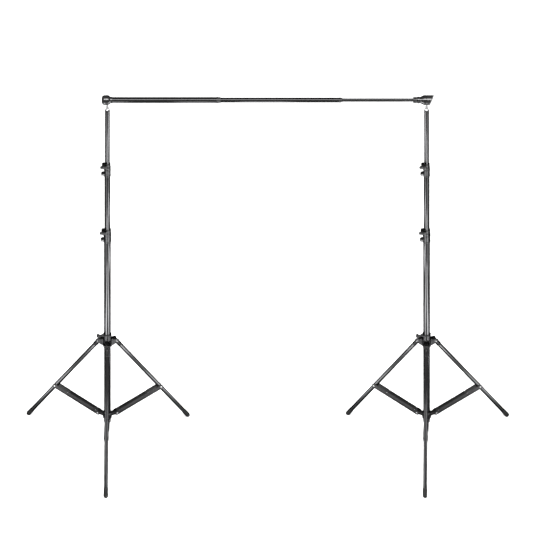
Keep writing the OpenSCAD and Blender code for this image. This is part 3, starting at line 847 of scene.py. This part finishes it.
for side in ("left", "right"):
    o = at(AXIS[side].x / MM, AXIS[side].y / MM, 0)
    base, mid, top = side + "_base", side + "_mid", side + "_top"
    piece(side + "_bottom_mast", pipe_me("t", RB, RB - 1.4, 146, LCZ + 36), o, MAT["mast"], base, (side + "_bottom_tube",))
    piece(side + "_middle_mast", pipe_me("t", RM, RM - 1.3, LCZ + 80 - 500, UCZ + 36), o, MAT["mast"], mid, (side + "_mid_tube",))
    # the top section is rolled in at its end round the stud's plug
    bm = bmesh.new()
    lathe_bm(bm, soften([(RT - 1.2, UCZ + 80 - 500), (RT, UCZ + 80 - 500), (RT, 2092.6), (RT - 0.5, 2094.4), (RT - 1.6, 2095), (RT - 1.6, 2094.2), (RT - 1.2, 2092)],
                        0.4, 2, closed=True), 64, closed=True)
    piece(side + "_top_mast", to_mesh(bm, "t"), o, MAT["mast"], top, (side + "_top_tube",))
    # stud: plug, shoulder with a wrench groove, cone, threaded tip
    prof = [(0, 2055), (RT - 1.25, 2055), (RT - 1.25, 2094.6), (8.3, 2094.8), (8.5, 2095.4), (8.5, 2098.4), (7.9, 2099.0), (7.9, 2100.0), (8.3, 2100.6),
            (8.2, 2102.2), (7.6, 2103.4), (4.5, 2127.4), (4.1, 2128.2), (4.1, 2130.2), (3.1, 2130.6)]
    z = 2131.0
    while z < 2152.6:
        prof += [(3.15, z), (2.7, z + 0.55), (3.15, z + 1.1)]
        z += 1.27
    prof += [(2.3, 2154.8), (0, 2155)]
    bm = bmesh.new()
    lathe_bm(bm, prof, 40)
    piece(side + "_stud", to_mesh(bm, "t"), o, MAT["spigot"], top, (side + "_spigot",))
    # bushes, each with a snap groove
    for nm, body, ri, ro, z0 in (("middle_bush", mid, RM, RB - 1.45, LCZ + 80 - 500), ("upper_bush", top, RT, RM - 1.35, UCZ + 80 - 500)):
        bm = bmesh.new()
        lathe_bm(bm, soften([(ri, z0), (ro, z0), (ro, z0 + 12), (ro - 0.5, z0 + 13), (ro - 0.5, z0 + 32), (ro, z0 + 33), (ro, z0 + 45), (ri, z0 + 45)],
                            0.35, 2, closed=True), 56, closed=True)
        piece(side + "_" + nm, to_mesh(bm, "t"), o, MAT["nylon"], body,
              (side + ("_mid_bush" if nm == "middle_bush" else "_top_bush"),))
    # end plug
    bm = bmesh.new()
    lathe_bm(bm, soften([(0, 134), (15.4, 134), (18.4, 137.2), (18.4, 139.4), (17.9, 140), (17.9, 141), (18.4, 141.6), (18.4, 145.2), (17.6, 146),
                         (16.05, 146), (16.05, 166), (13, 166), (13, 140), (0, 140)], 0.5, 2), 56)
    piece(side + "_end_plug", to_mesh(bm, "t"), o, MAT["rubber"], base, (side + "_bottom_plug",))
    # clamps and their knobs
    piece(side + "_lower_clamp_body", low_clamp, o @ at(0, 0, LCZ), MAT["moulding"], base, (side + "_lower_clamp",), sharp=38)
    piece(side + "_upper_clamp_body", up_clamp, o @ at(0, 0, UCZ), MAT["moulding"], mid, (side + "_upper_clamp",), sharp=38)
    piece(side + "_lower_clamp_bolt", low_bolt, o @ at(-(RB + 6.6), 0, LCZ + 12), MAT["bolt"], base)
    piece(side + "_upper_clamp_bolt", low_bolt, o @ at(-(RM + 6.6), 0, UCZ + 12), MAT["bolt"], mid)
    for nm, ru, zc in (("lower", RM, LCZ), ("upper", RT, UCZ)):
        k = o @ at(-(ru + 7.4), -9, zc + 70)
        piece(side + "_" + nm + "_thumb_knob", big_knob, k, MAT["knob"], side + "_" + nm + "_knob", (side + "_" + nm + "_knob",), sharp=38)
        piece(side + "_" + nm + "_knob_screw", knob_screw, k, MAT["bolt"], side + "_" + nm + "_knob")
    # collars
    piece(side + "_sliding_collar", collar_skin, o, MAT["moulding"], side + "_collar", (side + "_leg_collar",), sharp=38)
    piece(side + "_foot_collar", low_collar_skin, o, MAT["moulding"], base, (side + "_lower_collar",), sharp=38)
    k = o @ at(0, 0, 678) @ rot("Z", 190 - 270) @ at(0, -31, 0)
    piece(side + "_collar_thumb_knob", small_knob, k, MAT["knob"], side + "_collar_knob", (side + "_collar_knob",), sharp=38)
    piece(side + "_collar_knob_screw", small_screw, k, MAT["bolt"], side + "_collar_knob")
    first = True
    for a in AZ:
        lf, bf = o @ leg_frame(a), o @ brace_frame(a)
        leg_body, brace_body = side + "_leg_" + a, side + "_brace_" + a
        piece(side + "_leg_tube_" + a, leg_skin, lf, MAT["leg_" + a], leg_body, (side + "_leg_" + a,))
        piece(side + "_leg_top_" + a, cap_skin, lf, MAT["moulding"], leg_body, sharp=38)
        ft = piece(side + "_rubber_foot_" + a, foot_skin, lf @ at(0, 0, -LEG_LEN), MAT["rubber"], leg_body, (side + "_foot_" + a,))
        for v in ft.data.vertices:
            if v.co.z < 0:
                v.co.z = 0.0
        piece(side + "_channel_" + a, brace_skin, bf, MAT["brace"], brace_body, (side + "_brace_" + a,), sharp=38)
        piece(side + "_brace_stub_" + a, outer_rivet, bf @ at(BR_LEN, 0, 0), MAT["zinc"], brace_body)
        br = o @ rot("Z", AZ[a]) @ at(BR_R, 0, BR_Z)
        lr = o @ rot("Z", AZ[a]) @ at(LEG_R, 0, LEG_Z)
        piece(side + "_low_rivet_" + a, low_rivet, br, MAT["zinc"], base, (side + "_brace_rivets",) if first else ())
        piece(side + "_leg_bolt_" + a, leg_rivet, lr, MAT["zinc"], side + "_collar", (side + "_leg_bolts",) if first else ())
        first = False

# ------------------------------------------------------------------ crossbar
BX, BY = AXIS["left"].x / MM, AXIS["left"].y / MM
bar = at(BX, BY, BAR_Z) @ rot("Y", 90)
RO, RMID, RIN = 15.0, 12.5, 8.5
JA, JB = 566.0, 1182.0
piece("bar_thick_tube", pipe_me("t", RO, RO - 1.3, 22.2, JA - 4.2), bar, MAT["bar"], "bar_outer", ("bar_outer_tube",))
piece("bar_middle_tube", pipe_me("t", RMID, RMID - 1.2, 396, JB - 4.2), bar, MAT["bar"], "bar_mid", ("bar_mid_tube",))
piece("bar_thin_tube", pipe_me("t", RIN, RIN - 1.2, JB - 400, SPAN - 44.2), bar, MAT["bar"], "bar_inner", ("bar_inner_tube",))
for nm, body, ri, ro, z0, node in (("bar_middle_bush", "bar_mid", RMID, RO - 1.35, 396, "bar_mid_bush"),
                                   ("bar_thin_bush", "bar_inner", RIN, RMID - 1.25, JB - 400, "bar_inner_bush")):
    bm = bmesh.new()
    lathe_bm(bm, soften([(ri, z0), (ro, z0), (ro, z0 + 10), (ro - 0.4, z0 + 11), (ro - 0.4, z0 + 29), (ro, z0 + 30), (ro, z0 + 40), (ri, z0 + 40)],
                        0.3, 2, closed=True), 56, closed=True)
    piece(nm, to_mesh(bm, "t"), bar, MAT["nylon"], body, (node,))
bm = bmesh.new()
lathe_bm(bm, soften([(RO + 0.02, JA - 14), (RO + 0.65, JA - 14), (RO + 0.65, JA - 11.4), (RO + 0.2, JA - 10.8), (RO + 0.2, JA - 9.6), (RO + 0.65, JA - 9), (RO + 0.65, JA - 6),
                     (RO - 0.45, JA - 2.4), (RO - 0.45, JA + 1.8), (RMID + 1.4, JA + 5.9), (RMID + 0.1, JA + 5.9), (RMID + 0.1, JA - 3.9), (RO + 0.02, JA - 3.9)],
                    0.35, 2, closed=True), 64, closed=True)
piece("bar_joint_collar_a", to_mesh(bm, "t"), bar, MAT["trim"], "bar_outer", ("bar_joint_ring_a",))
bm = bmesh.new()
lathe_bm(bm, soften([(RMID + 0.02, JB - 14), (RMID + 0.65, JB - 14), (RMID + 0.65, JB - 11), (RMID + 0.2, JB - 10.4), (RMID + 0.2, JB - 9.2), (RMID + 0.65, JB - 8.6),
                     (RMID + 0.65, JB - 5), (RMID - 1, JB - 1), (RIN + 2, JB + 3), (RIN + 1.4, JB + 4.9), (RIN + 0.1, JB + 4.9), (RIN + 0.1, JB - 3.9), (RMID + 0.02, JB - 3.9)],
                    0.35, 2, closed=True), 64, closed=True)
piece("bar_joint_collar_b", to_mesh(bm, "t"), bar, MAT["trim"], "bar_mid", ("bar_joint_ring_b",))
# right-hand sleeve with two grip grooves
bm = bmesh.new()
S0 = SPAN - 68
lathe_bm(bm, soften([(RIN + 0.02, S0), (14.6, S0), (15.35, S0 + 1.2), (15.35, S0 + 4), (14.9, S0 + 4.6), (14.9, S0 + 5.6), (15.35, S0 + 6.2), (15.35, S0 + 12),
                     (14.9, S0 + 12.6), (14.9, S0 + 13.6), (15.35, S0 + 14.2), (15.35, S0 + 19.9), (RIN + 0.02, S0 + 19.9)], 0.3, 2, closed=True), 64, closed=True)
piece("bar_end_sleeve", to_mesh(bm, "t"), bar, MAT["trim"], "bar_inner", ("bar_right_sleeve",))


def head_mesh(name, prof, cuts, seg=96):
    bm = bmesh.new()
    lathe_bm(bm, prof, seg)
    ob = tmp_object(cut_away(to_mesh(bm, name), cuts))
    e = ob.modifiers.new("e", "BEVEL")
    e.width, e.segments, e.limit_method, e.angle_limit = 0.7, 3, "ANGLE", math.radians(38)
    return baked(ob)


# left head: moulded body with a seam groove; stud hole from below (local X is down)
prof = soften([(0, -29), (8, -28.9), (14, -27.9), (19, -25.6), (22.4, -22.3), (24.3, -18), (24.95, -13), (24.95, -9.4), (24.4, -8.8), (24.4, -7.8), (24.95, -7.2),
               (24.95, 3), (24.4, 5), (17.4, 14.6), (16.5, 17), (16.5, 25.8), (15.02, 25.8), (15.02, 22.2), (0, 22.2)], 0.8, 3)
cuts = bmesh.new()
cyl_bm(cuts, 3.3, (-16, 0, 0), (40, 0, 0), 32)
cyl_bm(cuts, 6.0, (24.0, 0, 0), (40, 0, 0), 32)
piece("bar_head_thick_end", head_mesh("t", prof, cuts), bar, MAT["head"], "bar_outer", ("bar_left_head",), sharp=30)
# right head: two rings, neck, body and oblique end
E = SPAN
prof = soften([(0, E - 44), (RIN + 0.02, E - 44), (RIN + 0.02, E - 47.9), (14, E - 47.9), (17.4, E - 46), (17.4, E - 37), (16.4, E - 36), (16.4, E - 32),
               (24.3, E - 15.4), (24.95, E - 13), (24.95, E + 0), (24.4, E + 0.6), (24.4, E + 1.6), (24.95, E + 2.2), (24.95, E + 60), (0, E + 60)], 0.7, 3)
cuts = bmesh.new()
cm = at(0, 0, 0)
box_m = bar.inverted() @ at(BX + SPAN + 26.0, BY, BAR_Z) @ rot("Z", -19.3) @ rot("Y", 14.7)
box_bm(cuts, (0, -120, -120), (200, 120, 120), box_m)
cyl_bm(cuts, 3.3, (-16, 0, E), (40, 0, E), 32)
cyl_bm(cuts, 6.0, (24.0, 0, E), (40, 0, E), 32)
piece("bar_head_thin_end", head_mesh("t", prof, cuts), bar, MAT["head"], "bar_inner", ("bar_right_head",), sharp=30)

# ------------------------------------------------------------------ stage, light and camera
MIDX = (AXIS["left"].x + AXIS["right"].x) / 2
MY = AXIS["left"].y


def stage_floor():
    me = bpy.data.meshes.new("studio_floor")
    s = 30.0
    me.from_pydata([(-s, -s, 0), (s, -s, 0), (s, s, 0), (-s, s, 0)], [], [(0, 1, 2, 3)])
    ob = bpy.data.objects.new("studio_floor", me)
    bpy.context.scene.collection.objects.link(ob)
    k = Mat("floor_pale", rough=0.9, spec=0.1)
    f = k.noise(1.3, 2.0, 0.5)
    k.colour(k.mix(f, (0.86, 0.86, 0.86), (0.88, 0.88, 0.88)))
    me.materials.append(k.m)


stage_floor()


def area(name, loc, aim, size, power, size_y=None):
    d = bpy.data.lights.new(name, "AREA")
    d.shape = "RECTANGLE"
    d.size, d.size_y = size, size_y or size
    d.energy = power
    ob = bpy.data.objects.new(name, d)
    ob.location = Vector(loc)
    ob.rotation_mode = "QUATERNION"
    ob.rotation_quaternion = (Vector(aim) - Vector(loc)).to_track_quat("-Z", "Y")
    bpy.context.scene.collection.objects.link(ob)
    return ob


area("soft_top", (0.0, -2.0, 5.2), (0.0, 0.1, 1.2), 7.0, 60.0 * 11.2, 1.3)
for nm, x, y, w, d, rad in (("left", -1.46, -1.42, 0.52, 1.9, 34.0), ("centre", 0.0, -1.42, 0.66, 1.9, 24.0), ("right", 1.46, -1.42, 0.52, 1.9, 34.0),
                            ("left_side", -1.58, 0.22, 0.5, 0.62, 16.0), ("middle", 0.0, 0.16, 0.5, 0.5, 16.0), ("right_side", 1.58, 0.22, 0.5, 0.62, 16.0)):
    ob = area("low_" + nm, (x, y, 0.02), (x, y, 5.0), w, rad * math.pi * w * d, d)
    ob.rotation_mode = "XYZ"
    ob.rotation_euler = (math.pi, 0.0, 0.0)
    ob.visible_camera = False
for nm, x, y, to in (("left", -1.85, -1.05, -0.8), ("centre", 0.0, -1.25, 0.0), ("right", 1.85, -1.05, 0.8)):
    ob = area("upright_" + nm, (x, y, 0.7), (to, -0.25, 0.35), 0.45, 12.0 * math.pi * 0.45 * 0.9, 0.9)
    ob.visible_camera = False
world = bpy.data.worlds.new("studio")
world.use_nodes = True
bg = world.node_tree.nodes["Background"]
bg.inputs["Color"].default_value = (1.0, 1.0, 1.0, 1.0)
bg.inputs["Strength"].default_value = 1.0
bpy.context.scene.world = world
vs = bpy.context.scene.view_settings
vs.view_transform = "Standard"
vs.look = "None"
vs.exposure = 0.0
vs.gamma = 1.0

cam = bpy.data.cameras.new("camera")
cam.type = "ORTHO"
cam.ortho_scale = 533 * 5.05 * MM
cam.clip_start, cam.clip_end = 0.1, 60.0
co = bpy.data.objects.new("camera", cam)
EL = math.radians(36.6)
back = Vector((0.0, -math.cos(EL), math.sin(EL)))
aim = Vector((MIDX - 0.0025, MY, 1.109))
co.rotation_mode = "QUATERNION"
co.location = aim + back * 9.0
co.rotation_quaternion = (-back).to_track_quat("-Z", "Y")
bpy.context.scene.collection.objects.link(co)
bpy.context.scene.camera = co
